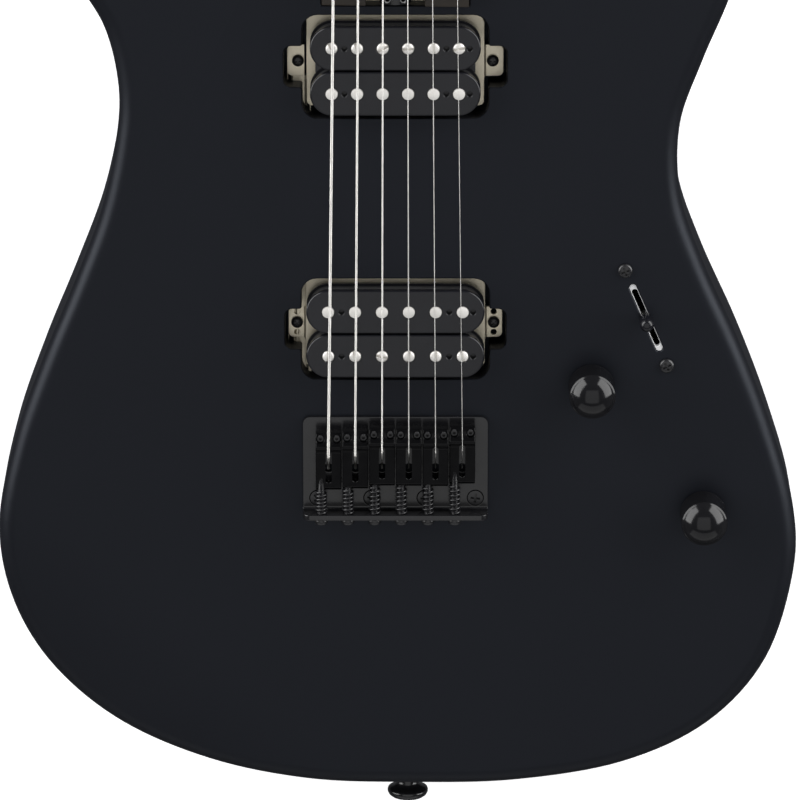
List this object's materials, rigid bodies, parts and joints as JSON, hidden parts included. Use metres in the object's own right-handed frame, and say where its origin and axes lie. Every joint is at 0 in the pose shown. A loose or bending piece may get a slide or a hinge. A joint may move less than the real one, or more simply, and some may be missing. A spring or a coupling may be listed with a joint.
{
  "type": "electric guitar",
  "caption": "Satin black six-string solid-body electric guitar with a double cutaway, bolt-on neck, fixed bridge and two open double-coil pickups.",
  "frame": {"origin": "on the back of the body, on the centre line, under the nominal bridge line (one scale length from the nut)", "axes": "+Z out of the front of the body, +Y from the bridge towards the headstock, +X towards the thin-string side"},
  "size_m": [0.316, 0.9964, 0.0639],
  "materials": {
    "body_finish": "satin",
    "maple": "satin",
    "ebony": "satin",
    "fret_wire": "polished",
    "string_steel": "satin",
    "pole_steel": "satin",
    "nickel_silver": "satin",
    "black_metal": "gloss",
    "black_screws": "satin",
    "black_plastic": "gloss",
    "nut_plastic": "satin",
    "coil_tape": "matte",
    "magnet": "rough",
    "inner_steel": "satin",
    "inlay": "gloss"
  },
  "bodies": {
    "root": {"body": "body_finish", "neck": "maple", "fingerboard": "ebony", "frets": "fret_wire", "inlay_dots": "inlay", "nut": "nut_plastic", "truss_rod": "inner_steel", "neck_plate": "black_metal", "neck_screws": "black_screws", "small_screws": "black_screws", "strap_buttons": "black_metal", "pickup_baseplates": "nickel_silver", "pickup_bobbins": "black_plastic", "pickup_coils": "coil_tape", "pickup_magnets": "magnet", "pickup_poles": "pole_steel", "pickup_mount_screws": "black_screws", "bridge_plate": "black_metal", "string_ferrules": "black_metal", "intonation_springs": "black_metal", "tuner_housings": "black_metal", "tuner_bushings": "black_metal", "pot_cans": "inner_steel", "panel_nuts": "inner_steel", "switch_frame": "inner_steel", "output_jack": "inner_steel", "jack_plate": "black_metal", "cavity_cover": "nut_plastic", "strings": "string_steel"},
    "truss_wheel": {"truss_wheel": "black_metal"},
    "volume": {"volume_knob": "black_metal", "volume_shaft": "inner_steel"},
    "tone": {"tone_knob": "black_metal", "tone_shaft": "inner_steel"},
    "switch": {"switch_lever": "inner_steel", "switch_tip": "black_plastic"},
    "intonation_screw_1": {"intonation_screw_1": "black_screws"},
    "saddle_1": {"saddle_1": "black_metal"},
    "tuner_button_1": {"tuner_button_1": "black_metal"},
    "tuner_post_1": {"tuner_post_1": "black_metal"},
    "intonation_screw_2": {"intonation_screw_2": "black_screws"},
    "saddle_2": {"saddle_2": "black_metal"},
    "tuner_button_2": {"tuner_button_2": "black_metal"},
    "tuner_post_2": {"tuner_post_2": "black_metal"},
    "intonation_screw_3": {"intonation_screw_3": "black_screws"},
    "saddle_3": {"saddle_3": "black_metal"},
    "tuner_button_3": {"tuner_button_3": "black_metal"},
    "tuner_post_3": {"tuner_post_3": "black_metal"},
    "intonation_screw_4": {"intonation_screw_4": "black_screws"},
    "saddle_4": {"saddle_4": "black_metal"},
    "tuner_button_4": {"tuner_button_4": "black_metal"},
    "tuner_post_4": {"tuner_post_4": "black_metal"},
    "intonation_screw_5": {"intonation_screw_5": "black_screws"},
    "saddle_5": {"saddle_5": "black_metal"},
    "tuner_button_5": {"tuner_button_5": "black_metal"},
    "tuner_post_5": {"tuner_post_5": "black_metal"},
    "intonation_screw_6": {"intonation_screw_6": "black_screws"},
    "saddle_6": {"saddle_6": "black_metal"},
    "tuner_button_6": {"tuner_button_6": "black_metal"},
    "tuner_post_6": {"tuner_post_6": "black_metal"}
  },
  "joints": [
    {"name": "volume_turn", "type": "hinge", "parent": "root", "child": "volume", "pos_m": [0.077, 0.0145, 0.0445], "axis": [0, 0, 1], "range_deg": [-140, 140]},
    {"name": "tone_turn", "type": "hinge", "parent": "root", "child": "tone", "pos_m": [0.1215, -0.038, 0.0445], "axis": [0, 0, 1], "range_deg": [-140, 140]},
    {"name": "switch_throw", "type": "hinge", "parent": "root", "child": "switch", "pos_m": [0.0981, 0.0422, 0.0245], "axis": [-0.9191, -0.3939, 0], "range_deg": [-24, 24]},
    {"name": "truss_wheel_turn", "type": "hinge", "parent": "root", "child": "truss_wheel", "pos_m": [0, 0.17145, 0.0414], "axis": [0, 1, 0], "continuous": true},
    {"name": "intonation_screw_1_turn", "type": "hinge", "parent": "root", "child": "intonation_screw_1", "pos_m": [-0.0292, -0.0382, 0.0519], "axis": [0, 1, 0], "range_deg": [-1300, 1590]},
    {"name": "saddle_1_slide", "type": "slide", "parent": "root", "child": "saddle_1", "axis": [0, 1, 0], "range_m": [-0.0022, 0.0018], "deforming": ["intonation_springs"]},
    {"name": "tuner_button_1_turn", "type": "hinge", "parent": "root", "child": "tuner_button_1", "pos_m": [-0.03762, 0.69582, 0.0234], "axis": [-0.966, 0.2584, 0], "continuous": true},
    {"name": "tuner_post_1_turn", "type": "hinge", "parent": "root", "child": "tuner_post_1", "pos_m": [-0.02016, 0.6837, 0.0429], "axis": [0, 0, 1], "continuous": true},
    {"name": "intonation_screw_2_turn", "type": "hinge", "parent": "root", "child": "intonation_screw_2", "pos_m": [-0.0187, -0.0382, 0.0519], "axis": [0, 1, 0], "range_deg": [-1300, 1590]},
    {"name": "saddle_2_slide", "type": "slide", "parent": "root", "child": "saddle_2", "axis": [0, 1, 0], "range_m": [-0.0022, 0.0018], "deforming": ["intonation_springs"]},
    {"name": "tuner_button_2_turn", "type": "hinge", "parent": "root", "child": "tuner_button_2", "pos_m": [-0.03048, 0.72042, 0.0234], "axis": [-0.966, 0.2584, 0], "continuous": true},
    {"name": "tuner_post_2_turn", "type": "hinge", "parent": "root", "child": "tuner_post_2", "pos_m": [-0.01302, 0.7083, 0.0429], "axis": [0, 0, 1], "continuous": true},
    {"name": "intonation_screw_3_turn", "type": "hinge", "parent": "root", "child": "intonation_screw_3", "pos_m": [-0.0082, -0.0382, 0.0519], "axis": [0, 1, 0], "range_deg": [-1300, 1590]},
    {"name": "saddle_3_slide", "type": "slide", "parent": "root", "child": "saddle_3", "axis": [0, 1, 0], "range_m": [-0.0022, 0.0018], "deforming": ["intonation_springs"]},
    {"name": "tuner_button_3_turn", "type": "hinge", "parent": "root", "child": "tuner_button_3", "pos_m": [-0.0236, 0.74502, 0.0234], "axis": [-0.966, 0.2584, 0], "continuous": true},
    {"name": "tuner_post_3_turn", "type": "hinge", "parent": "root", "child": "tuner_post_3", "pos_m": [-0.00614, 0.7329, 0.0429], "axis": [0, 0, 1], "continuous": true},
    {"name": "intonation_screw_4_turn", "type": "hinge", "parent": "root", "child": "intonation_screw_4", "pos_m": [0.0023, -0.0382, 0.0519], "axis": [0, 1, 0], "range_deg": [-1300, 1590]},
    {"name": "saddle_4_slide", "type": "slide", "parent": "root", "child": "saddle_4", "axis": [0, 1, 0], "range_m": [-0.0022, 0.0018], "deforming": ["intonation_springs"]},
    {"name": "tuner_button_4_turn", "type": "hinge", "parent": "root", "child": "tuner_button_4", "pos_m": [-0.01699, 0.76962, 0.0234], "axis": [-0.966, 0.2584, 0], "continuous": true},
    {"name": "tuner_post_4_turn", "type": "hinge", "parent": "root", "child": "tuner_post_4", "pos_m": [0.00047, 0.7575, 0.0429], "axis": [0, 0, 1], "continuous": true},
    {"name": "intonation_screw_5_turn", "type": "hinge", "parent": "root", "child": "intonation_screw_5", "pos_m": [0.0128, -0.0382, 0.0519], "axis": [0, 1, 0], "range_deg": [-1300, 1590]},
    {"name": "saddle_5_slide", "type": "slide", "parent": "root", "child": "saddle_5", "axis": [0, 1, 0], "range_m": [-0.0022, 0.0018], "deforming": ["intonation_springs"]},
    {"name": "tuner_button_5_turn", "type": "hinge", "parent": "root", "child": "tuner_button_5", "pos_m": [-0.01072, 0.79422, 0.0234], "axis": [-0.966, 0.2584, 0], "continuous": true},
    {"name": "tuner_post_5_turn", "type": "hinge", "parent": "root", "child": "tuner_post_5", "pos_m": [0.00674, 0.7821, 0.0429], "axis": [0, 0, 1], "continuous": true},
    {"name": "intonation_screw_6_turn", "type": "hinge", "parent": "root", "child": "intonation_screw_6", "pos_m": [0.0233, -0.0382, 0.0519], "axis": [0, 1, 0], "range_deg": [-1300, 1590]},
    {"name": "saddle_6_slide", "type": "slide", "parent": "root", "child": "saddle_6", "axis": [0, 1, 0], "range_m": [-0.0022, 0.0018], "deforming": ["intonation_springs"]},
    {"name": "tuner_button_6_turn", "type": "hinge", "parent": "root", "child": "tuner_button_6", "pos_m": [-0.00472, 0.81882, 0.0234], "axis": [-0.966, 0.2584, 0], "continuous": true},
    {"name": "tuner_post_6_turn", "type": "hinge", "parent": "root", "child": "tuner_post_6", "pos_m": [0.01274, 0.8067, 0.0429], "axis": [0, 0, 1], "continuous": true}
  ],
  "couplings": [
    {"joint": "intonation_screw_1_turn", "follows": "saddle_1_slide", "rad_per_m": -12566},
    {"joint": "tuner_button_1_turn", "follows": "tuner_post_1_turn", "ratio": 18},
    {"joint": "intonation_screw_2_turn", "follows": "saddle_2_slide", "rad_per_m": -12566},
    {"joint": "tuner_button_2_turn", "follows": "tuner_post_2_turn", "ratio": 18},
    {"joint": "intonation_screw_3_turn", "follows": "saddle_3_slide", "rad_per_m": -12566},
    {"joint": "tuner_button_3_turn", "follows": "tuner_post_3_turn", "ratio": 18},
    {"joint": "intonation_screw_4_turn", "follows": "saddle_4_slide", "rad_per_m": -12566},
    {"joint": "tuner_button_4_turn", "follows": "tuner_post_4_turn", "ratio": 18},
    {"joint": "intonation_screw_5_turn", "follows": "saddle_5_slide", "rad_per_m": -12566},
    {"joint": "tuner_button_5_turn", "follows": "tuner_post_5_turn", "ratio": 18},
    {"joint": "intonation_screw_6_turn", "follows": "saddle_6_slide", "rad_per_m": -12566},
    {"joint": "tuner_button_6_turn", "follows": "tuner_post_6_turn", "ratio": 18}
  ]
}
